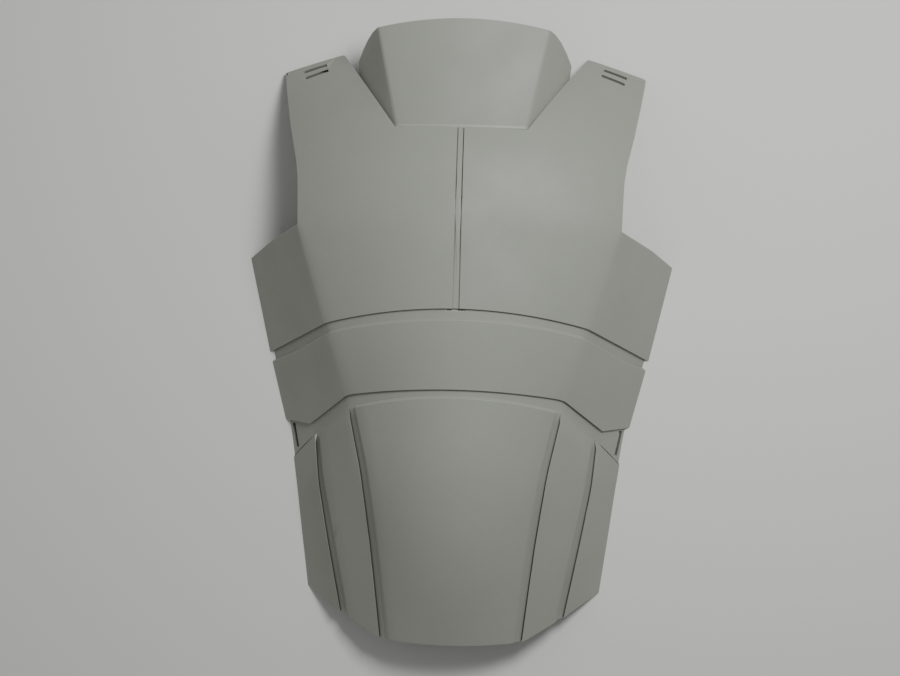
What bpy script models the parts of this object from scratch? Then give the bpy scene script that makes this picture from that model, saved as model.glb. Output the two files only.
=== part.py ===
"""Plated breastplate: neck guard, chest plate with shoulder straps, waist band and abdomen plate.

It lies on its side edges with the open side down: +X is the wearer's left, +Y runs up to
the neck and +Z is the front. Each plate is a thin moulded wall on one shared torso form.
"""
from collections import namedtuple

import bmesh
import bpy
from mathutils import Matrix, Vector

MM = 0.001
WELD = 0.01 * MM                  # points closer than this are one point
NORMAL_STEP = 1.0 * MM            # how far apart a surface is sampled to find which way it faces

# Walls and laps
WALL = 3.0 * MM                   # thickness of every plate
CLEARANCE = 0.35 * MM             # gap between a plate and the flange behind it
LAP = 12.0 * MM                   # hidden height of a flange behind the plate above it
STEP_RUN = 2.0 * MM               # height over which a flange steps up to its plate
PANEL_RAMP = 12.0 * MM            # height over which the panels beside the middle one rise instead
CHEST_REVEAL = 9.0 * MM           # height of flange that shows below the chest plate
BAND_REVEAL = 6.0 * MM            # height of flange that shows below the waist band
TAB_STEP = 1.4 * MM               # how far the foot of each side tab lies behind the panel below it

# Torso form
WIDTH = 435.0 * MM                # across the wings, at the widest
DEPTH = 131.0 * MM                # from the surface it lies on to the front of the chest
EDGE_SWEEP = 47.4 * MM            # how far the chest's lower edge drops from its middle to its sides
CREASE_ROUND = 9.0 * MM           # length over which the side crease is rounded
SKIRT = 8.0 * MM                  # extra side wall, which the flat side edge is cut from

# Heights along the middle, from top to bottom
COLLAR_HEIGHT = 108.3 * MM
UPPER_CHEST_HEIGHT = 85.3 * MM
LOWER_CHEST_HEIGHT = 92.0 * MM
BAND_HEIGHT = 78.5 * MM
ABDOMEN_HEIGHT = 257.5 * MM

# Neck opening and shoulder straps
NECK_WIDTH = 130.0 * MM           # straight edge between the straps
SHOULDER_RUN = 161.0 * MM         # from the armhole corner up to the strap's outer tip
TIP_REACH = 125.0 * MM            # from the middle out to the strap's inner tip
TIP_RISE = 83.5 * MM              # from the neck opening up to the strap's inner tip
SHOULDER_DEPTH = 131.0 * MM       # how far the shoulders curve back, as the unit of that table
TIP_ROUND = 3.0 * MM              # rounded corners of the straps' ends

# Neck guard
COLLAR_TOP_WIDTH = 170.5 * MM     # between the two upper corners
COLLAR_ARCH = 9.3 * MM            # rise of the top edge over its corners
COLLAR_LEAN = 7.0 * MM            # how far the face leans back over its height
COLLAR_CROWN = 8.0 * MM           # how far the middle of the face stands out
COLLAR_WING = 23.0 * MM           # width of each side facet at the top
COLLAR_WING_DROP = 27.0 * MM      # how far the facet's outer corner lies below the upper corner
COLLAR_WING_BACK = 57.0 * MM      # how far the facet's outer corner lies behind the upper corner
COLLAR_WING_BOW = 6.0 * MM        # how far the facet's top edge bows out
COLLAR_WING_FOOT = 36.0 * MM      # width of each side facet at the neckline
COLLAR_FOOT_BACK = 38.0 * MM      # how far the facet's outer edge lies back at the neckline
COLLAR_FLARE = 2.2 * MM           # how far the foot of the face turns out
COLLAR_FLARE_HEIGHT = 3.2 * MM

# Channels
CHEST_CHANNEL_WIDTH = 6.8 * MM
CHEST_CHANNEL_DEPTH = 2.4 * MM
GROOVE_DEPTH = 2.6 * MM
GROOVE_FLOOR = 4.0 * MM
GROOVE_SLOPE_TOP = 5.0 * MM       # soft side of each groove, at its upper end
GROOVE_SLOPE_FOOT = 8.0 * MM      # and at its lower end
WALL_LEAN = 0.6 * MM              # steep side of each groove or channel
RELIEF_SIDE = 0.8 * MM            # room beside the back of the chest channel, in the flanges behind it
RELIEF_FADE = 2.5 * MM            # height over which that room ends below the chest plate's edge

# Webbing slots
WEBBING = 25.0 * MM               # length of every slot
SLOT_WIDTH = 4.6 * MM
SLOT_REACH = 18.0 * MM            # how deep a slot's cutter goes
SLOT_PITCH = 11.5 * MM            # between the two slots of a strap, along its surface
TIP_MARGIN = 11.0 * MM            # from the strap's end to the middle of the first slot
TAB_SLOT_INSET = 9.0 * MM         # from the flat side edge to the middle of the side slot
TAB_SLOT_DROP = 18.0 * MM         # from the band's corner down to the middle of the side slot

COLOUR = (0.30, 0.315, 0.285, 1.0)

HALF_WIDTH = WIDTH / 2
RECESS = WALL + CLEARANCE
HEIGHT = COLLAR_HEIGHT + UPPER_CHEST_HEIGHT + LOWER_CHEST_HEIGHT + BAND_HEIGHT + ABDOMEN_HEIGHT

# Levels of the middle line, with the origin half way up
COLLAR_TOP = HEIGHT / 2
NECK_LEVEL = COLLAR_TOP - COLLAR_HEIGHT
FOLD_LEVEL = NECK_LEVEL - UPPER_CHEST_HEIGHT
HEM_LEVEL = FOLD_LEVEL - LOWER_CHEST_HEIGHT
BAND_FOOT = HEM_LEVEL - BAND_HEIGHT
STEP_LEVEL = BAND_FOOT - BAND_REVEAL
FOOT_LEVEL = BAND_FOOT - ABDOMEN_HEIGHT

# Sections across the torso from the fold of the chest down to the lower edge. Widths are
# shares of HALF_WIDTH, drops below the middle are shares of EDGE_SWEEP, and heights above
# the surface it lies on are shares of DEPTH.
Section = namedtuple("Section", "level middle_z crease_x crease_drop crease_z "
                                "bend_x bend_drop bend_z side_x side_drop")
SECTIONS = [
    Section(FOLD_LEVEL, 1.000, 0.736, 0.253, 0.702, 0.892, 0.586, 0.288, 1.000, 0.905),
    Section(HEM_LEVEL, 0.985, 0.596, 0.348, 0.702, 0.774, 0.732, 0.288, 0.898, 1.000),
    Section(BAND_FOOT, 0.931, 0.492, 0.181, 0.656, 0.684, 0.854, 0.237, 0.816, 0.795),
    Section(STEP_LEVEL, 0.926, 0.496, 0.319, 0.641, 0.659, 0.930, 0.262, 0.774, 1.473),
    Section(STEP_LEVEL + 0.26 * (FOOT_LEVEL - STEP_LEVEL),
            0.900, 0.434, 0.230, 0.622, 0.637, 0.560, 0.300, 0.751, 0.815),
    Section(STEP_LEVEL + 0.55 * (FOOT_LEVEL - STEP_LEVEL),
            0.800, 0.389, 0.106, 0.530, 0.594, 0.120, 0.285, 0.728, 0.100),
    Section(FOOT_LEVEL, 0.473, 0.335, -0.068, 0.351, 0.524, -0.561, 0.205, 0.691, -1.040),
]
FOLD_STATION, HEM_STATION, BAND_STATION, STEP_STATION, FOOT_STATION = 0, 1, 2, 3, 6
BEND_COLUMN = 2
SKIRT_COLUMN = 4

# The shoulders above the fold: how far along SHOULDER_RUN, then how far the middle and the
# armhole edge have curved back, as shares of SHOULDER_DEPTH, and the edge's share of HALF_WIDTH.
Shoulder = namedtuple("Shoulder", "run middle_back edge_back edge_x")
SHOULDERS = [
    Shoulder(0.00, 0.000, 0.000, 0.736),
    Shoulder(0.30, 0.062, 0.050, 0.744),
    Shoulder(0.60, 0.190, 0.236, 0.791),
    Shoulder(0.82, 0.400, 0.440, 0.826),
    Shoulder(1.00, 0.700, 0.655, 0.853),
    Shoulder(1.15, 1.000, 0.860, 0.872),
]

# Soft side of a groove, from its rim in: share of its width, share of the groove's depth.
GROOVE_SLOPE = [(0.33, 0.25), (0.67, 0.75), (1.00, 1.00)]

# How finely the curved surfaces are divided
NECK_COLUMNS = 4                  # from the middle to the strap's inner edge
STRAP_COLUMNS = 6                 # across a strap
BAND_COLUMNS = [0.20, 0.32, 0.43, 0.55, 0.67, 0.78, 0.90]
SIDE_COLUMNS = [1.25, 1.5, 1.75, BEND_COLUMN, 2.33, 2.67, 3, SKIRT_COLUMN]
PANEL_COLUMNS = 8                 # across half of the abdomen's middle panel
SIDE_PANEL_COLUMNS = 3            # across the panel between two grooves
OUTER_COLUMNS = [2.25, 2.5, 2.75, 3, SKIRT_COLUMN]
TAB_COLUMN = 2.5                  # where a tab has its full rise
FACE_COLUMNS = [0.30, 0.44, 0.58, 0.72, 0.86, 1.00]
FACET_COLUMNS = [0.25, 0.50, 0.75, 1.00]
CHEST_ROWS = 6                    # in each half of the chest
STRAP_ROWS = 7
BAND_ROWS = 5
ABDOMEN_ROWS = 12
FACE_ROWS = 6
TIP_SEGMENTS = 3
SLOT_STEPS = 40                   # steps of the walk from a strap's end to a slot


def blend(keys, values, key):
    """Smooth curve through a short table that never swings past its values."""
    last = len(keys) - 2
    index = max(i for i in range(last + 1) if i == 0 or keys[i] <= key)
    chords = [(values[i + 1] - values[i]) / (keys[i + 1] - keys[i]) for i in range(last + 1)]

    def slope(i):
        if i == 0:
            return chords[0]
        if i == last + 1:
            return chords[last]
        if chords[i - 1] * chords[i] <= 0:
            return 0.0
        return 2 * chords[i - 1] * chords[i] / (chords[i - 1] + chords[i])

    span = keys[index + 1] - keys[index]
    t = (key - keys[index]) / span
    start = (1 + 2 * t) * (1 - t) ** 2 * values[index] + t * (1 - t) ** 2 * span * slope(index)
    end = t * t * (3 - 2 * t) * values[index + 1] + t * t * (t - 1) * span * slope(index + 1)
    return start + end


def section_at(station):
    """The middle, crease, bend and side points of the section at a station number."""
    index = min(int(station), len(SECTIONS) - 2)
    share = station - index
    above = SECTIONS[index]
    below = SECTIONS[index + 1]
    levels = [-section.level for section in SECTIONS]

    def between(field):
        return (1 - share) * getattr(above, field) + share * getattr(below, field)

    level = between("level")

    def point(name):
        heights = [getattr(section, name + "_z") for section in SECTIONS]
        height = DEPTH * blend(levels, heights, -level)
        if name == "middle":
            return Vector((0.0, level, height))
        drop = EDGE_SWEEP * between(name + "_drop")
        return Vector((HALF_WIDTH * between(name + "_x"), level - drop, height))

    side_drop = EDGE_SWEEP * between("side_drop")
    side = Vector((HALF_WIDTH * between("side_x"), level - side_drop, 0.0))
    return point("middle"), point("crease"), point("bend"), side


def torso(across, station):
    """A point of the torso form: across is 0 at the middle, 1 at the crease, 2 at the bend
    and 3 at the side."""
    middle, crease, bend, side = section_at(station)
    soft = CREASE_ROUND / crease.x * min(1.0, station * 4)

    def raw(value):
        if value <= 1:
            point = middle.lerp(crease, value * value)
            point.x = crease.x * value
            return point
        if value <= 2:
            return crease.lerp(bend, value - 1)
        if value <= 3:
            return bend.lerp(side, value - 2)
        return side + (side - bend).normalized() * SKIRT * (value - 3)

    if abs(across - 1) >= soft:
        return raw(across)
    t = (across - 1 + soft) / (2 * soft)
    return raw(1 - soft) * (1 - t) ** 2 + crease * 2 * t * (1 - t) + raw(1 + soft) * t ** 2


def inward(across, station):
    """The direction into the wall, lengthened at a crease so that an offset stays parallel."""
    step = 0.01
    above = torso(across, max(station - step, FOLD_STATION))
    along = torso(across, min(station + step, FOOT_STATION)) - above
    here = torso(across, station)
    outer = (torso(across + step, station) - here).cross(along).normalized()
    if across < step:
        inner = Vector((-outer.x, outer.y, outer.z))
    else:
        inner = (here - torso(across - step, station)).cross(along).normalized()
    return (outer + inner) / (1 + outer.dot(inner))


def shoulder(x, y):
    """The front of the upper chest and the straps at a place seen from the front."""
    middle, crease, _, _ = section_at(FOLD_STATION)
    runs = [row.run for row in SHOULDERS]
    edge = armhole_x(y)
    bow = (x / edge) ** 2
    run = (y - middle.y - bow * (crease.y - middle.y)) / SHOULDER_RUN
    middle_back = blend(runs, [row.middle_back for row in SHOULDERS], run)
    edge_back = blend(runs, [row.edge_back for row in SHOULDERS], run)
    back = SHOULDER_DEPTH * ((1 - bow) * middle_back + bow * edge_back)
    return Vector((x, y, middle.z + bow * (crease.z - middle.z) - back))


def armhole_x(y):
    """How far out the armhole edge lies at a height."""
    run = (y - section_at(FOLD_STATION)[1].y) / SHOULDER_RUN
    return HALF_WIDTH * blend([row.run for row in SHOULDERS], [row.edge_x for row in SHOULDERS], run)


def shares(start, end, count):
    """Evenly spaced values from start to end."""
    return [start + (end - start) * i / count for i in range(count + 1)]


def add_grid(mesh, rows):
    """Lay a grid of faces through rows of points, facing the front."""
    grid = bmesh.ops.create_grid(mesh, x_segments=len(rows[0]) - 1, y_segments=len(rows) - 1)
    points = [point for row in rows for point in row]
    for vertex, point in zip(grid["verts"], points, strict=True):
        vertex.co = point


def make_plate(name, grids, cuts, rounded=()):
    """Join half a plate's grids, mirror them, give them a wall and make the cuts."""
    mesh = bmesh.new()
    for rows in grids:
        add_grid(mesh, rows)
    bmesh.ops.remove_doubles(mesh, verts=mesh.verts, dist=WELD)
    corners = [vertex for vertex in mesh.verts for point in rounded if (vertex.co - point).length < MM]
    if corners:
        bmesh.ops.bevel(mesh, geom=corners, offset=TIP_ROUND, offset_type="OFFSET", affect="VERTICES",
                        segments=TIP_SEGMENTS, profile=0.5)
    bmesh.ops.recalc_face_normals(mesh, faces=mesh.faces)
    if sum(face.normal.z * face.calc_area() for face in mesh.faces) < 0:
        bmesh.ops.reverse_faces(mesh, faces=mesh.faces)
    data = bpy.data.meshes.new(name)
    mesh.to_mesh(data)
    mesh.free()
    plate = bpy.data.objects.new(name, data)
    parts.objects.link(plate)
    data.materials.append(make_material(name))
    mirror = plate.modifiers.new("mirror", "MIRROR")
    mirror.merge_threshold = WELD
    wall = plate.modifiers.new("wall", "SOLIDIFY")
    wall.thickness = WALL
    wall.offset = -1
    wall.use_even_offset = True
    wall.use_quality_normals = True
    for cutter in cuts:
        cut = plate.modifiers.new("cut", "BOOLEAN")
        cut.operation = "DIFFERENCE"
        cut.solver = "EXACT"
        cut.object = cutter
    return plate


def make_material(name):
    """Matte grey moulded plastic."""
    material = bpy.data.materials.new(name + "_plastic")
    material.use_nodes = True
    shader = material.node_tree.nodes["Principled BSDF"]
    shader.inputs["Base Color"].default_value = COLOUR
    shader.inputs["Roughness"].default_value = 0.6
    shader.inputs["Metallic"].default_value = 0.0
    return material


def make_cutter(name, boxes):
    """Boxes that cut a plate, each given by its matrix."""
    mesh = bmesh.new()
    for matrix in boxes:
        bmesh.ops.create_cube(mesh, size=1.0, matrix=matrix)
    data = bpy.data.meshes.new(name)
    mesh.to_mesh(data)
    mesh.free()
    cutter = bpy.data.objects.new(name, data)
    cutters.objects.link(cutter)
    cutter.hide_render = True
    cutter.display_type = "WIRE"
    return cutter


def slot_boxes(centre, along, normal):
    """A slot's cutter on the +X side and its mirror image."""
    boxes = []
    for side in (1, -1):
        flip = Vector((side, 1, 1))
        x_axis = (along * flip).normalized()
        z_axis = (normal * flip).normalized()
        y_axis = z_axis.cross(x_axis)
        turn = Matrix((x_axis, y_axis, z_axis)).transposed().to_4x4()
        size = Matrix.Diagonal((WEBBING, SLOT_WIDTH, SLOT_REACH, 1.0))
        boxes.append(Matrix.Translation(centre * flip) @ turn @ size)
    return boxes


def crease_columns(station):
    """Five columns across the rounded crease: two before it, the crease itself and two past it."""
    soft = CREASE_ROUND / section_at(station)[1].x
    return [1 + soft * share for share in (-1.0, -0.5, 0.0, 0.5, 1.0)]


def make_chest_plate():
    """The chest: its lower half with wings, its upper half and two shoulder straps."""
    half_channel = CHEST_CHANNEL_WIDTH / 2
    neck_x = NECK_WIDTH / 2
    neck_share = neck_x / armhole_x(NECK_LEVEL)
    front = shares(0, neck_share, NECK_COLUMNS)[1:] + shares(neck_share, 1, STRAP_COLUMNS)[1:-1]

    def channel(width):
        floor = (half_channel - WALL_LEAN) / width
        return [(0.0, CHEST_CHANNEL_DEPTH), (floor, CHEST_CHANNEL_DEPTH), (half_channel / width, 0.0)]

    lower = []
    wings = []
    for station in shares(HEM_STATION, FOLD_STATION, CHEST_ROWS):
        columns = channel(section_at(station)[1].x) + [(share, 0.0) for share in front]
        columns += [(share, 0.0) for share in crease_columns(station)[:3]]
        lower.append([torso(u, station) + inward(u, station) * depth for u, depth in columns])
        wings.append([torso(u, station) for u in crease_columns(station)[2:] + SIDE_COLUMNS])

    def upper_row(rise):
        row = []
        middle, crease, _, _ = section_at(FOLD_STATION)
        columns = channel(armhole_x(NECK_LEVEL)) + [(share, 0.0) for share in front]
        columns += [(share, 0.0) for share in crease_columns(FOLD_STATION)[:3]]
        for share, depth in columns:
            start = middle.y + share * share * (crease.y - middle.y)
            y = start + rise * (NECK_LEVEL - start)
            x = share * armhole_x(y)
            if share < front[0]:
                x = share * armhole_x(NECK_LEVEL)
            row.append(shoulder(x, y) - Vector((0, 0, depth)))
        return row

    upper = [lower[-1]] + [upper_row(rise) for rise in shares(0, 1, CHEST_ROWS)[1:]]
    first = len(channel(half_channel)) + front.index(neck_share)
    strap = [upper[-1][first:]]
    width = upper[-1][-1].x - neck_x
    places = [(point.x - neck_x) / width for point in strap[0]]
    inner_tip = Vector((TIP_REACH, NECK_LEVEL + TIP_RISE))
    outer_y = section_at(FOLD_STATION)[1].y + SHOULDER_RUN
    for rise in shares(0, 1, STRAP_ROWS)[1:]:
        inner = Vector((neck_x, NECK_LEVEL)).lerp(inner_tip, rise)
        y = NECK_LEVEL + rise * (outer_y - NECK_LEVEL)
        outer = Vector((armhole_x(y), y))
        strap.append([shoulder(*inner.lerp(outer, place)) for place in places])

    slots = []
    tip_inner = strap[-1][0]
    tip_outer = strap[-1][-1]
    along = (tip_outer - tip_inner).normalized()
    middle = (tip_inner + tip_outer) / 2
    for row in range(2):
        below = TIP_MARGIN + row * SLOT_PITCH
        centre = along_strap(middle, along, below)
        normal = shoulder_normal(centre.x, centre.y)
        slots += slot_boxes(centre, along - normal * along.dot(normal), normal)
    cut = make_cutter("strap_slot_cutter", slots)
    ends = [tip_inner, tip_outer]
    return make_plate("chest_plate", [lower, wings, upper, strap], [floor_cutter, cut], ends)


def along_strap(start, along, distance):
    """Walk down the strap's surface from its end, square to the end edge."""
    heading = Vector((along.y, -along.x)).normalized()
    point = start.copy()
    for _ in range(SLOT_STEPS):
        normal = shoulder_normal(point.x, point.y)
        slope = -(normal.x * heading.x + normal.y * heading.y) / normal.z
        run = distance / SLOT_STEPS / (1 + slope * slope) ** 0.5
        point = shoulder(point.x + heading.x * run, point.y + heading.y * run)
    return point


def shoulder_normal(x, y):
    """Outward direction of the strap's surface."""
    run_x = shoulder(x + NORMAL_STEP, y) - shoulder(x - NORMAL_STEP, y)
    run_y = shoulder(x, y + NORMAL_STEP) - shoulder(x, y - NORMAL_STEP)
    return run_x.cross(run_y).normalized()


def flanged_rows(flange, body, columns):
    """Rows of a plate: a sunk flange that starts behind the plate above, then the plate itself."""
    rows = []
    for station in flange:
        row = [torso(column, station) + inward(column, station) * (RECESS + extra)
               for column, _, extra in columns(station)]
        rows.append(row)
    for station in body:
        row = [torso(column, station) + inward(column, station) * depth
               for column, depth, _ in columns(station)]
        rows.append(row)
    return rows


def span_below(section):
    """Height along the middle from one section to the next."""
    return SECTIONS[section].level - SECTIONS[section + 1].level


def relief_places():
    """Distances from the middle at which the room for the chest channel's back begins and ends."""
    start = CHEST_CHANNEL_WIDTH / 2 + WALL + RELIEF_SIDE
    return [(0.0, CHEST_CHANNEL_DEPTH), (start, CHEST_CHANNEL_DEPTH), (start + CHEST_CHANNEL_DEPTH, 0.0)]


def make_waist_band():
    """The waist band, with its flange behind the chest plate."""
    def columns(station):
        width = section_at(station)[1].x
        hidden = station <= HEM_STATION
        values = [(place / width, 0.0, room * hidden) for place, room in relief_places()]
        plain = BAND_COLUMNS + crease_columns(station) + SIDE_COLUMNS
        values += [(value, 0.0, 0.0) for value in plain]
        return values

    span = span_below(HEM_STATION)
    top = HEM_STATION - LAP / span_below(FOLD_STATION)
    step = HEM_STATION + CHEST_REVEAL / span
    flange = [top, (top + HEM_STATION) / 2, HEM_STATION, HEM_STATION + RELIEF_FADE / span, step]
    body = shares(step + STEP_RUN / span, BAND_STATION, BAND_ROWS)
    return make_plate("waist_band", [flanged_rows(flange, body, columns)], [floor_cutter])


def make_abdomen_plate():
    """The abdomen plate: a flange with side tabs, and five panels parted by four grooves."""
    def columns(station):
        _, crease, bend, _ = section_at(station)
        front = 1 / crease.x
        side = 1 / (bend - crease).length
        down = max(0.0, (station - STEP_STATION) / (FOOT_STATION - STEP_STATION))
        slope = GROOVE_SLOPE_TOP + down * (GROOVE_SLOPE_FOOT - GROOVE_SLOPE_TOP)
        run_in = WALL_LEAN + GROOVE_FLOOR + slope
        past_crease = crease_columns(station)[3:]
        middle_panel = shares(0, 1 - front * run_in, PANEL_COLUMNS)
        side_panel = shares(past_crease[-1], BEND_COLUMN - side * run_in, SIDE_PANEL_COLUMNS)
        values = [(value, 0.0, 0.0) for value in middle_panel]
        values += groove(1, front, slope)
        values += [(value, 0.0, 0.0) for value in past_crease[:-1] + side_panel]
        values += groove(BEND_COLUMN, side, slope)
        rise = (RECESS - TAB_STEP) * max(0.0, min(1.0, station - BAND_STATION))
        values += [(value, 0.0, -rise * min(1.0, (value - BEND_COLUMN) / (TAB_COLUMN - BEND_COLUMN)))
                   for value in OUTER_COLUMNS]
        sunk = RECESS * max(0.0, 1 - (station - STEP_STATION) * span / PANEL_RAMP)
        return [(value, max(depth, sunk) if 1 <= value < BEND_COLUMN else depth, extra)
                for value, depth, extra in values]

    def groove(place, scale, slope):
        floor_end = place - scale * WALL_LEAN
        rim = floor_end - scale * (GROOVE_FLOOR + slope)
        profile = [(rim + scale * slope * run, GROOVE_DEPTH * depth) for run, depth in GROOVE_SLOPE]
        profile += [(floor_end, GROOVE_DEPTH), (place, 0.0)]
        return [(value, depth, 0.0) for value, depth in profile]

    span = span_below(STEP_STATION)
    top = BAND_STATION - LAP / BAND_HEIGHT
    flange = [top, (top + BAND_STATION) / 2, BAND_STATION, (BAND_STATION + STEP_STATION) / 2, STEP_STATION]
    body = shares(STEP_STATION + PANEL_RAMP / span, FOOT_STATION, ABDOMEN_ROWS)
    body.insert(0, STEP_STATION + STEP_RUN / span)
    rows = flanged_rows(flange, body, columns)
    _, _, bend, side = section_at(BAND_STATION)
    lower_side = section_at(STEP_STATION)[3]
    edge = (lower_side - side).normalized()
    up_wall = bend - side
    up_wall = (up_wall - edge * up_wall.dot(edge)).normalized()
    normal = up_wall.cross(edge).normalized()
    if normal.z < 0:
        normal.negate()
    centre = side + edge * TAB_SLOT_DROP + up_wall * TAB_SLOT_INSET - normal * (RECESS + TAB_STEP) / 2
    cut = make_cutter("tab_slot_cutter", slot_boxes(centre, edge, normal))
    return make_plate("abdomen_plate", [rows], [floor_cutter, cut])


def make_neck_guard():
    """The neck guard: a crowned face with two side facets and a flange behind the chest plate."""
    half_top = COLLAR_TOP_WIDTH / 2
    half_foot = NECK_WIDTH / 2
    relief = dict(relief_places())
    face = [place / half_foot for place in relief] + FACE_COLUMNS

    def behind_chest(y, sunk, hidden=True):
        row = []
        rooms = list(relief.values()) + [0.0] * len(face)
        for share, room in zip(face, rooms):
            point = shoulder(share * half_foot, y)
            row.append(point - shoulder_normal(point.x, point.y) * (sunk + room * hidden))
        corner = row[-1]
        for share in FACET_COLUMNS:
            row.append(corner + Vector((share * COLLAR_WING_FOOT, 0, -share * COLLAR_FOOT_BACK)))
        return row

    def top_row():
        row = []
        top_z = shoulder(0, NECK_LEVEL).z - RECESS - COLLAR_FLARE - COLLAR_LEAN
        for share in face:
            bow = share * share
            arch = COLLAR_TOP - bow * COLLAR_ARCH
            row.append(Vector((share * half_top, arch, top_z - bow * COLLAR_CROWN)))
        corner = row[-1]
        for share in FACET_COLUMNS:
            bulge = COLLAR_WING_BOW * 4 * share * (1 - share)
            row.append(corner + Vector((share * COLLAR_WING, bulge - share * COLLAR_WING_DROP,
                                        -share * COLLAR_WING_BACK)))
        return row

    foot = behind_chest(NECK_LEVEL + COLLAR_FLARE_HEIGHT, RECESS + COLLAR_FLARE, hidden=False)
    top = top_row()
    rows = [behind_chest(NECK_LEVEL - LAP, RECESS), behind_chest(NECK_LEVEL - LAP / 2, RECESS),
            behind_chest(NECK_LEVEL, RECESS)]
    for rise in shares(0, 1, FACE_ROWS):
        rows.append([low.lerp(high, rise) for low, high in zip(foot, top, strict=True)])
    return make_plate("neck_guard", [rows], [])


for old in list(bpy.data.objects):
    bpy.data.objects.remove(old, do_unlink=True)
parts = bpy.data.collections.new("breastplate")
cutters = bpy.data.collections.new("cutters")
bpy.context.scene.collection.children.link(parts)
bpy.context.scene.collection.children.link(cutters)
under = Matrix.Translation((0, 0, -DEPTH / 2)) @ Matrix.Diagonal((2 * WIDTH, 2 * HEIGHT, DEPTH, 1))
floor_cutter = make_cutter("floor_cutter", [under])
make_neck_guard()
make_chest_plate()
make_waist_band()
make_abdomen_plate()
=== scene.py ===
"""Looks of the plated breastplate: rounded rims, matte moulded plastic, and a pale studio stage."""
import math
from itertools import combinations

import bmesh
import bpy
from bpy.props import FloatProperty, FloatVectorProperty, PointerProperty
from bpy.types import NodeSocket, Operator, Panel, PropertyGroup
from mathutils import Matrix, Vector
from mathutils.bvhtree import BVHTree
from mathutils.geometry import intersect_point_line


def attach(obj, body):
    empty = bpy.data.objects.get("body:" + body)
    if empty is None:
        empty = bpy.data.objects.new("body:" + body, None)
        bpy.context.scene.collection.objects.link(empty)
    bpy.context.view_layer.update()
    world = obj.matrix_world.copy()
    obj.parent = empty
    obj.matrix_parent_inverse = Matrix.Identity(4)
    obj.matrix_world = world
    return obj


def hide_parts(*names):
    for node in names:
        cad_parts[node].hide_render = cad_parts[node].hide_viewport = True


bl_info = {
    "name": "Breastplate",
    "version": (1, 0, 0),
    "blender": (4, 5, 0),
    "location": "3D View > Sidebar > Breastplate",
    "description": "Finishes the plates of a breastplate and lights them on a pale floor",
    "category": "Object",
}

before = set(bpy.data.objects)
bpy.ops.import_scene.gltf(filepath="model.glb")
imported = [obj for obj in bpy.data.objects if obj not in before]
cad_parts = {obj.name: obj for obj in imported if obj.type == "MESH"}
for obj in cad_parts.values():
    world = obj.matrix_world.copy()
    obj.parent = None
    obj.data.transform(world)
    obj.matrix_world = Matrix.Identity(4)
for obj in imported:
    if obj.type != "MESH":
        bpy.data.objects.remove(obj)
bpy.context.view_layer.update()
MM = 0.001

# Making one mesh of a plate's loose triangles
WELD = 0.3 * MM                    # points nearer than this are made one
STRAP_WELD = 0.9 * MM              # wide enough for the slivers that slots leave on curved straps
SLIVER = 0.05 * MM                 # edges shorter than this are taken out
CUT_REACH = 0.01 * MM              # points nearer to a cut than this lie on it
FLAT_TURN = math.radians(0.3)      # faces that turn by less are one face
JOIN_TURN = math.radians(15)       # most turn inside a four-sided face
JOIN_SKEW = math.radians(60)       # most that its corners differ from square

# Telling faces and edges apart. A share is of a normal or of an edge's direction.
WALL_LIMIT = 4.5 * MM              # two outer edges nearer than this have the wall between them
STEP_UP = 0.65                     # least share up the body in a step's normal
STEP_FRONT = 0.2                   # least share to the front in it
FRONT_STEP = 0.4                   # the same for the steps across the front only
FOOT_FRONT = 0.3                   # least share to the front in the normal of the foot with painted highlight
FOOT_HEIGHT = 3 * MM               # height of the foot with painted highlight
NECK_FOOT_TOP = 205.8 * MM         # level at which the neck guard's foot turns out
RAY_START = 0.1 * MM
SLOT_REACH = 27 * MM               # a slot's walls face each other within this
SLOT_TURN = math.radians(60)       # least turn at a slot's corner
BEND_TURN = math.radians(24)       # least turn at a long bend
BEND_FRONT = 0.1                   # least share to the front in the normals beside a bend
BEND_UPRIGHT = 0.8                 # least share along the body in a bend's direction
FOOT_UPRIGHT = 0.3                 # the same for a steep wall's foot
STRAIGHT_ON = 0.9                  # least cosine between two edges of one foot
TORSO_MIDDLE = -20 * MM            # level of a line along the middle of the torso

# The narrow gaps
GAP_START = 0.3 * MM               # first width of the bevel that becomes the gap
GAP_MIDDLE = 0.1 * MM              # the bevel's middle points stray less than this from its middle
LEAST_CREST = 0.2 * MM             # least height of the gap's upper edge
GAP_TUCK = 0.25 * MM               # how far the bottom lies behind that edge, to hide its lit side
CHEST_GAP = 0.8                    # share of the gap's size that the chest plate has

# The plastic
PLAIN, PAINTED_HIGHLIGHT, PAINTED_SHADE = range(3)   # order of a plate's materials
ABS_IOR = 1.53
CLOUD_WIDTH = 45 * MM              # the clouds that the flow of the plastic leaves
SPECKLE = 0.04                     # how much the grain lightens and darkens the colour
GLOSS_SPREAD = 0.05                # how much the roughness changes from cloud to cloud
HIGHLIGHT_POLISH = 0.08                  # how much smoother the faces with painted highlight are

# The stage, in metres
FLOOR_REACH = 8.0
FLOOR_ROUGHNESS = 0.85
KEY_PLACE, KEY_TARGET, KEY_SIZE = (0.42, 0.50, 1.2), (0.0, 0.05, 0.06), 0.4
FILL_PLACE, FILL_TARGET, FILL_SIZE = (-1.1, 0.2, 1.4), (0.0, 0.0, 0.06), 1.0
VIEW_CENTRE = (-0.0074, -0.0031, 0.06)
VIEW_WIDTH = 0.9                   # what the picture spans at that height
SENSOR_WIDTH = 36                  # in millimetres


def linear(hex_colour):
    """An sRGB hex colour such as "9A9D94" as linear red, green and blue."""
    channels = [int(hex_colour[i:i + 2], 16) / 255 for i in (0, 2, 4)]
    return [c / 12.92 if c <= 0.04045 else ((c + 0.055) / 1.055) ** 2.4 for c in channels]


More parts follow.
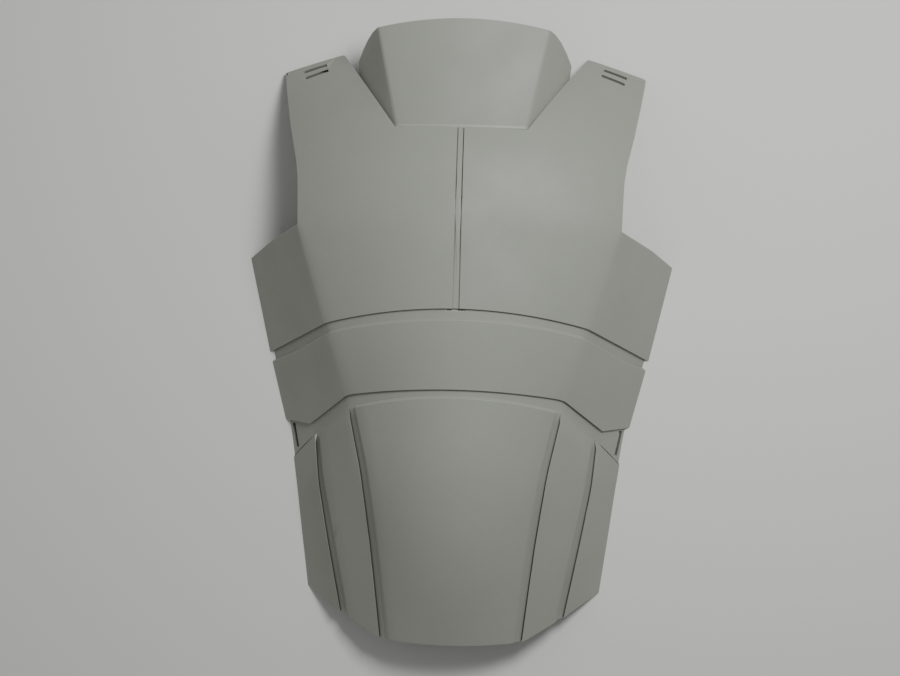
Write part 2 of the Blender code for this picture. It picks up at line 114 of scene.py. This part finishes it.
class PlateSizes(PropertyGroup):
    """How the edges of the plates are softened."""
    rim_round: FloatProperty(
        name="Rim rounding", description="Rounding of each plate's outer rims",
        default=0.8 * MM, min=0.1 * MM, max=1.3 * MM, precision=5, unit="LENGTH")
    groove_round: FloatProperty(
        name="Groove rounding", description="Rounding of the edges of grooves, channels and steps",
        default=0.3 * MM, min=0.1 * MM, max=0.7 * MM, precision=5, unit="LENGTH")
    bend_round: FloatProperty(
        name="Bend rounding",
        description="Rounding of the bends between the neck guard's face and its sides",
        default=2.5 * MM, min=0.5 * MM, max=6 * MM, precision=5, unit="LENGTH")
    gap_drop: FloatProperty(
        name="Gap drop", description="How far below a steep wall's foot its narrow gap reaches",
        default=2.3 * MM, min=0.5 * MM, max=2.6 * MM, precision=5, unit="LENGTH")
    gap_lip: FloatProperty(
        name="Gap lip", description="Height of wall that is left above the gap",
        default=0.45 * MM, min=0.3 * MM, max=1.5 * MM, precision=5, unit="LENGTH")
    gap_width: FloatProperty(
        name="Gap width", description="Width of that gap as seen from straight above",
        default=1.25 * MM, min=0.4 * MM, max=2.4 * MM, precision=5, unit="LENGTH")
    wall_angle: FloatProperty(
        name="Wall angle", description="Walls that rise at more than this have a gap at their foot",
        default=math.radians(50), min=math.radians(40), max=math.radians(80), unit="ROTATION")
    slot_corner: FloatProperty(
        name="Slot corners", description="Radius of the webbing slots' corners",
        default=1.2 * MM, min=0.2 * MM, max=2.2 * MM, precision=5, unit="LENGTH")
    sharp_angle: FloatProperty(
        name="Sharp angle", description="Edges that turn by more than this are rounded",
        default=math.radians(28), min=math.radians(15), max=math.radians(60), unit="ROTATION")


class PlasticFinish(PropertyGroup):
    """Colour and texture of the moulded plastic."""
    tone: FloatVectorProperty(
        name="Plastic", description="Colour of the moulded plastic",
        default=linear("999C92"), min=0, max=1, subtype="COLOR")
    tone_shift: FloatVectorProperty(
        name="Plastic, darker flow",
        description="Colour in the soft clouds that the flow of the plastic leaves",
        default=linear("979A90"), min=0, max=1, subtype="COLOR")
    # Painted highlight: the plastic drawn lighter on the rounded rims, the steps across the front
    # and the neck guard's foot, where light catches them
    highlight_tone: FloatVectorProperty(
        name="Painted highlight", description="Lighter colour painted as highlight on the rims, steps and foot",
        default=linear("A4A79D"), min=0, max=1, subtype="COLOR")
    # Painted shade: the plastic drawn darker on the slots' walls and in the abdomen plate's narrow
    # gaps, where shade falls
    shade_tone: FloatVectorProperty(
        name="Painted shade",
        description="Darker colour painted as shade on the slots' walls and in narrow gaps",
        default=linear("70736B"), min=0, max=1, subtype="COLOR")
    roughness: FloatProperty(
        name="Roughness", description="Roughness of the textured mould face",
        default=0.58, min=0, max=1, subtype="FACTOR")
    grain: FloatProperty(
        name="Grain", description="Width of one grain of the mould's texture",
        default=1.1 * MM, min=0.2 * MM, max=4 * MM, precision=5, unit="LENGTH")
    grain_depth: FloatProperty(
        name="Grain depth", description="Depth of the mould's texture",
        default=0.02 * MM, min=0, max=0.2 * MM, precision=6, unit="LENGTH")


class StageSetup(PropertyGroup):
    """Floor, lights and camera."""
    floor_tone: FloatVectorProperty(
        name="Floor", description="Colour of the floor",
        default=linear("E8E8E5"), min=0, max=1, subtype="COLOR")
    key_power: FloatProperty(
        name="Key light", description="Strength of the soft light from the upper right",
        default=13.0, min=0, max=200, unit="POWER")
    fill_power: FloatProperty(
        name="Fill light", description="Strength of the weak light from the left",
        default=0.5, min=0, max=200, unit="POWER")
    room_light: FloatProperty(
        name="Room light", description="Strength of the even light of the room",
        default=0.23, min=0, max=2)
    camera_distance: FloatProperty(
        name="Camera distance",
        description="From the camera down to the surface that the part lies on",
        default=2.0, min=0.5, max=10, unit="LENGTH")
    camera_turn: FloatProperty(
        name="Camera turn", description="How far the camera stands to the right of straight above",
        default=math.radians(2.0), unit="ROTATION")
    camera_roll: FloatProperty(
        name="Camera roll", description="How far the camera is rolled about its line of sight",
        default=math.radians(1.42), unit="ROTATION")


def add_node(tree, kind, settings=None, inputs=None):
    """Add a node. Settings are its properties; inputs are its sockets' values, or the sockets that
    feed them."""
    node = tree.nodes.new(kind)
    for name, value in (settings or {}).items():
        setattr(node, name, value)
    for name, value in (inputs or {}).items():
        if isinstance(value, NodeSocket):
            tree.links.new(value, node.inputs[name])
        else:
            node.inputs[name].default_value = value
    return node


def moulded_abs(name, tone, tone_shift, roughness, finish):
    """ABS plastic from a spark-textured mould: an even matte surface with a fine grain, which keeps
    highlights wide and soft, and faint clouds where the plastic flowed."""
    material = bpy.data.materials.new(name)
    material.use_nodes = True
    tree = material.node_tree
    shader = tree.nodes["Principled BSDF"]
    shader.inputs["IOR"].default_value = ABS_IOR
    place = add_node(tree, "ShaderNodeTexCoord").outputs["Object"]
    clouds = add_node(tree, "ShaderNodeTexNoise", inputs={
        "Vector": place, "Scale": 1 / CLOUD_WIDTH, "Detail": 3.0, "Roughness": 0.5})
    # The real grit is about 0.1 mm, too fine to show, so it is drawn as wide as the grain setting
    grit = add_node(tree, "ShaderNodeTexNoise", inputs={
        "Vector": place, "Scale": 1 / finish.grain, "Detail": 2.0, "Roughness": 0.6})
    share = add_node(tree, "ShaderNodeMapRange", inputs={
        "Value": clouds.outputs["Fac"], "From Min": 0.35, "From Max": 0.65})
    colour = add_node(tree, "ShaderNodeMix", {"data_type": "RGBA"}, {
        "Factor": share.outputs["Result"], "A": (*tone, 1.0), "B": (*tone_shift, 1.0)})
    speckle = add_node(tree, "ShaderNodeMapRange", inputs={
        "Value": grit.outputs["Fac"], "From Min": 0.3, "From Max": 0.7,
        "To Min": 1 - SPECKLE, "To Max": 1 + SPECKLE})
    speckled = add_node(tree, "ShaderNodeVectorMath", {"operation": "SCALE"}, {
        "Vector": colour.outputs["Result"], "Scale": speckle.outputs["Result"]})
    gloss = add_node(tree, "ShaderNodeMapRange", inputs={
        "Value": clouds.outputs["Fac"], "From Min": 0.3, "From Max": 0.7,
        "To Min": roughness - GLOSS_SPREAD, "To Max": roughness + GLOSS_SPREAD})
    bump = add_node(tree, "ShaderNodeBump", inputs={
        "Height": grit.outputs["Fac"], "Distance": finish.grain_depth, "Strength": 1.0})
    tree.links.new(speckled.outputs["Vector"], shader.inputs["Base Color"])
    tree.links.new(gloss.outputs["Result"], shader.inputs["Roughness"])
    tree.links.new(bump.outputs["Normal"], shader.inputs["Normal"])
    return material


def plate_materials(scene):
    """The plastic of a plate's faces, then the same plastic lighter as painted highlight on its
    rims, steps and foot, and darker as painted shade on its slots and gaps. Each is made once."""
    finish = scene.breastplate_plastic
    kinds = (
        ("moulded_abs", finish.tone, finish.tone_shift, finish.roughness),
        ("painted_highlight_abs", finish.highlight_tone, finish.highlight_tone, finish.roughness - HIGHLIGHT_POLISH),
        ("painted_shade_abs", finish.shade_tone, finish.shade_tone, finish.roughness),
    )
    return [bpy.data.materials.get(kind[0]) or moulded_abs(*kind, finish) for kind in kinds]


def welded_copy(node, weld):
    """The node's loose triangles as one closed mesh, mostly of four-sided faces. Points nearer than
    weld are made one."""
    mesh = bmesh.new()
    mesh.from_mesh(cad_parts[node].data)
    bmesh.ops.remove_doubles(mesh, verts=mesh.verts, dist=weld)
    bmesh.ops.dissolve_degenerate(mesh, edges=mesh.edges, dist=SLIVER)
    bmesh.ops.dissolve_limit(mesh, verts=mesh.verts, edges=mesh.edges, angle_limit=FLAT_TURN)
    triangles = [face for face in mesh.faces if len(face.verts) == 3]
    bmesh.ops.join_triangles(mesh, faces=triangles, angle_face_threshold=JOIN_TURN,
                             angle_shape_threshold=JOIN_SKEW)
    for item in [*mesh.edges, *mesh.faces]:
        item.smooth = True
    return mesh


def is_sharp(edge, angle):
    """Whether the surface turns by more than the angle at the edge."""
    return edge.is_manifold and edge.calc_face_angle() > angle


def sharp_edges(mesh, angle):
    return [edge for edge in mesh.edges if is_sharp(edge, angle)]


def step_faces(mesh, angle):
    """Faces of the low steps across a plate, which rise from a sunk flange and face up the body."""
    return {face for face in mesh.faces
            if face.normal.y > STEP_UP and face.normal.z > STEP_FRONT
            and any(is_sharp(edge, angle) and not edge.is_convex for edge in face.edges)}


def rim_faces(mesh, angle):
    """Faces of the wall's thickness, which lie between two outer edges about as far apart as the
    wall is thick."""
    found = set()
    for face in set(mesh.faces) - step_faces(mesh, angle):
        outer = [edge for edge in face.edges if is_sharp(edge, angle) and edge.is_convex]
        for a, b in combinations(outer, 2):
            middle = (a.verts[0].co + a.verts[1].co) / 2
            across, _ = intersect_point_line(middle, b.verts[0].co, b.verts[1].co)
            if set(a.verts).isdisjoint(b.verts) and (middle - across).length < WALL_LIMIT:
                found.add(face)
    return found


def slot_walls(mesh, rims):
    """The faces that line the slots: each faces another wall of the plate across its slot, and is a
    rim face or touches one of those."""
    tree = BVHTree.FromBMesh(mesh)
    facing = set()
    for face in mesh.faces:
        start = face.calc_center_median() + face.normal * RAY_START
        if tree.ray_cast(start, face.normal, SLOT_REACH)[0] is not None:
            facing.add(face)
    walls = rims & facing
    return {face for face in facing
            if any(other in walls for edge in face.edges for other in edge.link_faces)}


def bevel(mesh, edges, offset, segments):
    """Bevel the edges, in the material of the faces beside them. What is made is returned."""
    return bmesh.ops.bevel(mesh, geom=edges, offset=offset, offset_type="OFFSET", affect="EDGES",
                           segments=segments, profile=0.5, material=-1)


def round_bends(mesh, width):
    """Round the long upright bends of the front, which the mould leaves soft."""
    bends = [edge for edge in sharp_edges(mesh, BEND_TURN)
             if edge.is_convex and min(face.normal.z for face in edge.link_faces) > BEND_FRONT
             and abs((edge.verts[1].co - edge.verts[0].co).normalized().y) > BEND_UPRIGHT]
    bevel(mesh, bends, width, segments=5)


def round_slot_corners(mesh, sizes):
    """Give the slots' corners a radius, as a milled mould leaves them."""
    slots = slot_walls(mesh, rim_faces(mesh, sizes.sharp_angle))
    corners = [edge for edge in sharp_edges(mesh, SLOT_TURN) if slots.issuperset(edge.link_faces)]
    bevel(mesh, corners, sizes.slot_corner, segments=4)


def wall_feet(mesh, sizes, rims):
    """The feet of the front's steep walls that run down a plate, each as its edge, its wall and its
    floor."""
    feet = []
    for edge in sharp_edges(mesh, sizes.wall_angle):
        start, end = (vertex.co for vertex in edge.verts)
        upright = abs((end - start).normalized().y)
        faces_front = sum(face.normal.z for face in edge.link_faces) >= 0
        if edge.is_convex or upright < FOOT_UPRIGHT or not faces_front:
            continue
        if not rims.isdisjoint(edge.link_faces):
            continue
        # The floor faces away from the middle of the torso, the wall across it
        outward = Vector((start.x, 0, start.z - TORSO_MIDDLE))
        wall, floor = sorted(edge.link_faces, key=lambda face: face.normal.dot(outward))
        feet.append((edge, wall, floor))
    return feet


def foot_places(feet, rims):
    """Each point along the feet with the directions up its wall and out along its floor, the wall's
    height, whether the gap opens there, and the normal of the rim that cuts the foot off, if one
    does."""
    found = {}
    for edge, wall, floor in feet:
        start, end = (vertex.co for vertex in edge.verts)
        along = (end - start).normalized()
        directions = []
        for face in (wall, floor):
            away = face.calc_center_median() - start
            directions.append((away - away.project(along)).normalized())
        height = max((vertex.co - start).dot(directions[0]) for vertex in wall.verts)
        for vertex in edge.verts:
            found.setdefault(vertex, []).append((along, *directions, height))
    places = []
    for vertex, sides in found.items():
        rim = next((face.normal.copy() for face in vertex.link_faces if face in rims), None)
        straight = len(sides) == 2 and abs(sides[0][0].dot(sides[1][0])) > STRAIGHT_ON
        up = sum((side[1] for side in sides), Vector()).normalized()
        out = sum((side[2] for side in sides), Vector()).normalized()
        height = min(side[3] for side in sides)
        opens = straight or (rim is not None and len(sides) == 1)
        places.append((vertex.co.copy(), up, out, height, opens, rim))
    return places


def undercut_walls(mesh, sizes, share):
    """Cut a narrow gap straight down along each steep wall, as between two lapped forms; it is what
    draws the dark line beside each groove. Share scales the gap. Its faces are returned."""
    rims = rim_faces(mesh, sizes.sharp_angle)
    feet = wall_feet(mesh, sizes, rims)
    places = foot_places(feet, rims)
    made = bevel(mesh, [edge for edge, _, _ in feet], GAP_START, segments=2)
    for vertex in made["verts"]:
        foot, up, out, height, opens, rim = min(
            places, key=lambda place: (place[0] - vertex.co).length)
        if not opens:
            continue
        rise = (vertex.co - foot).dot(up)
        reach = (vertex.co - foot).dot(out)
        level = Vector((out.x, out.y, 0)).normalized()
        crest = up * max(LEAST_CREST, height - sizes.gap_lip)
        if abs(rise - reach) < GAP_MIDDLE:
            move = crest - level * GAP_TUCK - Vector((0, 0, crest.z + sizes.gap_drop * share))
        elif rise > reach:
            move = crest
        else:
            move = out * (crest.dot(level) + sizes.gap_width * share) / out.dot(level)
        if rim is not None:
            move -= move.project(rim)
        vertex.co = foot + move
        # Near the hem the gap ends at the surface that the plate lies on
        vertex.co.z = max(vertex.co.z, 0)
    bmesh.ops.remove_doubles(mesh, verts=made["verts"], dist=SLIVER)
    bmesh.ops.dissolve_degenerate(mesh, edges=mesh.edges, dist=SLIVER)
    mesh.normal_update()
    return {face for face in made["faces"] if face.is_valid}


def cut_foot(mesh, foot_top):
    """Cut the plate's faces at the level foot_top, and return the front's faces just below it."""
    bmesh.ops.bisect_plane(mesh, geom=[*mesh.verts, *mesh.edges, *mesh.faces], dist=CUT_REACH,
                           plane_co=(0, foot_top, 0), plane_no=(0, 1, 0))
    return {face for face in mesh.faces if face.normal.z > FOOT_FRONT
            and foot_top - FOOT_HEIGHT < face.calc_center_median().y < foot_top}


def mark_edges(mesh, sizes, rims, fine):
    """Weigh each sharp edge for its rounding. Concave edges and those of fine faces stay sharp."""
    weight = mesh.edges.layers.float.new("bevel_weight_edge")
    for edge in sharp_edges(mesh, sizes.sharp_angle):
        if not edge.is_convex or not fine.isdisjoint(edge.link_faces):
            edge.smooth = False
        elif rims.isdisjoint(edge.link_faces):
            edge[weight] = sizes.groove_round / sizes.rim_round
        else:
            edge[weight] = 1.0


def add_rounding(plate, width):
    rounding = plate.modifiers.new("rounded edges", "BEVEL")
    rounding.limit_method = "WEIGHT"
    rounding.width = width
    rounding.segments = 3
    # The rounded edges take the plastic with painted highlight
    rounding.material = PAINTED_HIGHLIGHT
    rounding.use_clamp_overlap = False
    rounding.harden_normals = True


def finish_plate(scene, node, weld=WELD, bend_width=0.0, gap_share=0.0, shaded_gap=False,
                 foot_top=None):
    """Stand a plate with rounded edges and its plastic in the node's place. Its rounded edges, its
    steps across the front and its foot up to foot_top get painted highlight; its slots, and a
    shaded gap, get painted shade."""
    sizes = scene.breastplate_plates
    mesh = welded_copy(node, weld)
    if bend_width:
        round_bends(mesh, bend_width)
    round_slot_corners(mesh, sizes)
    gap = undercut_walls(mesh, sizes, gap_share) if gap_share else set()
    foot = cut_foot(mesh, foot_top) if foot_top else set()
    steps = {face for face in step_faces(mesh, sizes.sharp_angle) if face.normal.z > FRONT_STEP}
    rims = rim_faces(mesh, sizes.sharp_angle)
    slots = slot_walls(mesh, rims)
    # Steps and foot get painted highlight; slots and a shaded gap get painted shade
    for faces, material in (
            (mesh.faces, PLAIN), (steps | foot, PAINTED_HIGHLIGHT), (slots, PAINTED_SHADE),
            (gap if shaded_gap else set(), PAINTED_SHADE)):
        for face in faces:
            face.material_index = material
    # The narrow strip of wall above a gap is too fine to be rounded
    lips = {side for face in gap for edge in face.edges for side in edge.link_faces}
    mark_edges(mesh, sizes, rims, lips | slots)
    data = bpy.data.meshes.new(node + "_finished")
    mesh.to_mesh(data)
    mesh.free()
    # The triangles' stored shading no longer fits the new faces
    data.attributes.remove(data.attributes["custom_normal"])
    for material in plate_materials(scene):
        data.materials.append(material)
    plate = bpy.data.objects.new(node + "_finished", data)
    scene.collection.objects.link(plate)
    add_rounding(plate, sizes.rim_round)
    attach(plate, "root")
    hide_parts(node)


class BREASTPLATE_OT_neck_guard(Operator):
    """Finish the neck guard: crowned face, two side facets and a turned-out foot"""
    bl_idname = "breastplate.neck_guard"
    bl_label = "Neck guard"

    def execute(self, context):
        sizes = context.scene.breastplate_plates
        finish_plate(context.scene, "neck_guard", bend_width=sizes.bend_round,
                     foot_top=NECK_FOOT_TOP)
        return {"FINISHED"}


class BREASTPLATE_OT_chest_plate(Operator):
    """Finish the chest plate: wings, middle channel, shoulder straps and their slots"""
    bl_idname = "breastplate.chest_plate"
    bl_label = "Chest plate"

    def execute(self, context):
        finish_plate(context.scene, "chest_plate", weld=STRAP_WELD, gap_share=CHEST_GAP)
        return {"FINISHED"}


class BREASTPLATE_OT_waist_band(Operator):
    """Finish the waist band and the flange that shows above it"""
    bl_idname = "breastplate.waist_band"
    bl_label = "Waist band"

    def execute(self, context):
        finish_plate(context.scene, "waist_band")
        return {"FINISHED"}


class BREASTPLATE_OT_abdomen_plate(Operator):
    """Finish the abdomen plate: side tabs, slots and four grooves"""
    bl_idname = "breastplate.abdomen_plate"
    bl_label = "Abdomen plate"

    def execute(self, context):
        # The abdomen plate's gaps get painted shade
        finish_plate(context.scene, "abdomen_plate", gap_share=1.0, shaded_gap=True)
        return {"FINISHED"}


def add_floor(scene, setup):
    """A wide pale floor."""
    mesh = bmesh.new()
    bmesh.ops.create_grid(mesh, x_segments=1, y_segments=1, size=FLOOR_REACH)
    data = bpy.data.meshes.new("floor")
    mesh.to_mesh(data)
    mesh.free()
    floor = bpy.data.objects.new("floor", data)
    scene.collection.objects.link(floor)
    material = bpy.data.materials.new("matt_painted_board")
    material.use_nodes = True
    shader = material.node_tree.nodes["Principled BSDF"]
    shader.inputs["Base Color"].default_value = (*setup.floor_tone, 1.0)
    shader.inputs["Roughness"].default_value = FLOOR_ROUGHNESS
    data.materials.append(material)


def add_area_light(scene, name, place, target, power, size):
    """A square soft light that faces its target."""
    data = bpy.data.lights.new(name, "AREA")
    data.energy = power
    data.size = size
    light = bpy.data.objects.new(name, data)
    light.location = place
    light.rotation_euler = (Vector(target) - Vector(place)).to_track_quat("-Z", "Y").to_euler()
    scene.collection.objects.link(light)


def add_room_light(scene, setup):
    """Even white light from all around."""
    world = bpy.data.worlds.new("room")
    world.use_nodes = True
    background = world.node_tree.nodes["Background"]
    background.inputs["Color"].default_value = (1.0, 1.0, 1.0, 1.0)
    background.inputs["Strength"].default_value = setup.room_light
    scene.world = world


def add_camera(scene, setup):
    """A camera above the part, at the photo's angle to it."""
    centre = Vector(VIEW_CENTRE)
    turn = (Matrix.Rotation(setup.camera_turn, 3, "Y")
            @ Matrix.Rotation(setup.camera_roll, 3, "Z"))
    away = setup.camera_distance - centre.z
    data = bpy.data.cameras.new("camera")
    data.sensor_width = SENSOR_WIDTH
    data.lens = data.sensor_width * away / VIEW_WIDTH
    camera = bpy.data.objects.new("camera", data)
    camera.matrix_world = (Matrix.Translation(centre + turn @ Vector((0, 0, away)))
                           @ turn.to_4x4())
    scene.collection.objects.link(camera)
    scene.camera = camera


class BREASTPLATE_OT_stage(Operator):
    """Add the floor, the lights and the camera"""
    bl_idname = "breastplate.stage"
    bl_label = "Stage"

    def execute(self, context):
        scene = context.scene
        setup = scene.breastplate_stage
        add_floor(scene, setup)
        add_area_light(scene, "key", KEY_PLACE, KEY_TARGET, setup.key_power, KEY_SIZE)
        add_area_light(scene, "fill", FILL_PLACE, FILL_TARGET, setup.fill_power, FILL_SIZE)
        add_room_light(scene, setup)
        add_camera(scene, setup)
        return {"FINISHED"}


class BREASTPLATE_PT_panel(Panel):
    """The breastplate's pieces, finish and stage"""
    bl_idname = "BREASTPLATE_PT_panel"
    bl_label = "Breastplate"
    bl_space_type = "VIEW_3D"
    bl_region_type = "UI"
    bl_category = "Breastplate"

    def draw(self, context):
        scene = context.scene
        groups = (scene.breastplate_plates, scene.breastplate_plastic, scene.breastplate_stage)
        for group in groups:
            box = self.layout.box()
            for name in group.__annotations__:
                box.prop(group, name)
        for operator in OPERATORS:
            self.layout.operator(operator.bl_idname)


OPERATORS = (
    BREASTPLATE_OT_neck_guard,
    BREASTPLATE_OT_chest_plate,
    BREASTPLATE_OT_waist_band,
    BREASTPLATE_OT_abdomen_plate,
    BREASTPLATE_OT_stage,
)
CLASSES = (PlateSizes, PlasticFinish, StageSetup, *OPERATORS, BREASTPLATE_PT_panel)


def register():
    for cls in CLASSES:
        bpy.utils.register_class(cls)
    bpy.types.Scene.breastplate_plates = PointerProperty(type=PlateSizes)
    bpy.types.Scene.breastplate_plastic = PointerProperty(type=PlasticFinish)
    bpy.types.Scene.breastplate_stage = PointerProperty(type=StageSetup)


def unregister():
    del bpy.types.Scene.breastplate_stage
    del bpy.types.Scene.breastplate_plastic
    del bpy.types.Scene.breastplate_plates
    for cls in reversed(CLASSES):
        bpy.utils.unregister_class(cls)


def main():
    register()
    bpy.ops.breastplate.stage()
    bpy.ops.breastplate.neck_guard()
    bpy.ops.breastplate.chest_plate()
    bpy.ops.breastplate.waist_band()
    bpy.ops.breastplate.abdomen_plate()


if __name__ == "__main__":
    main()
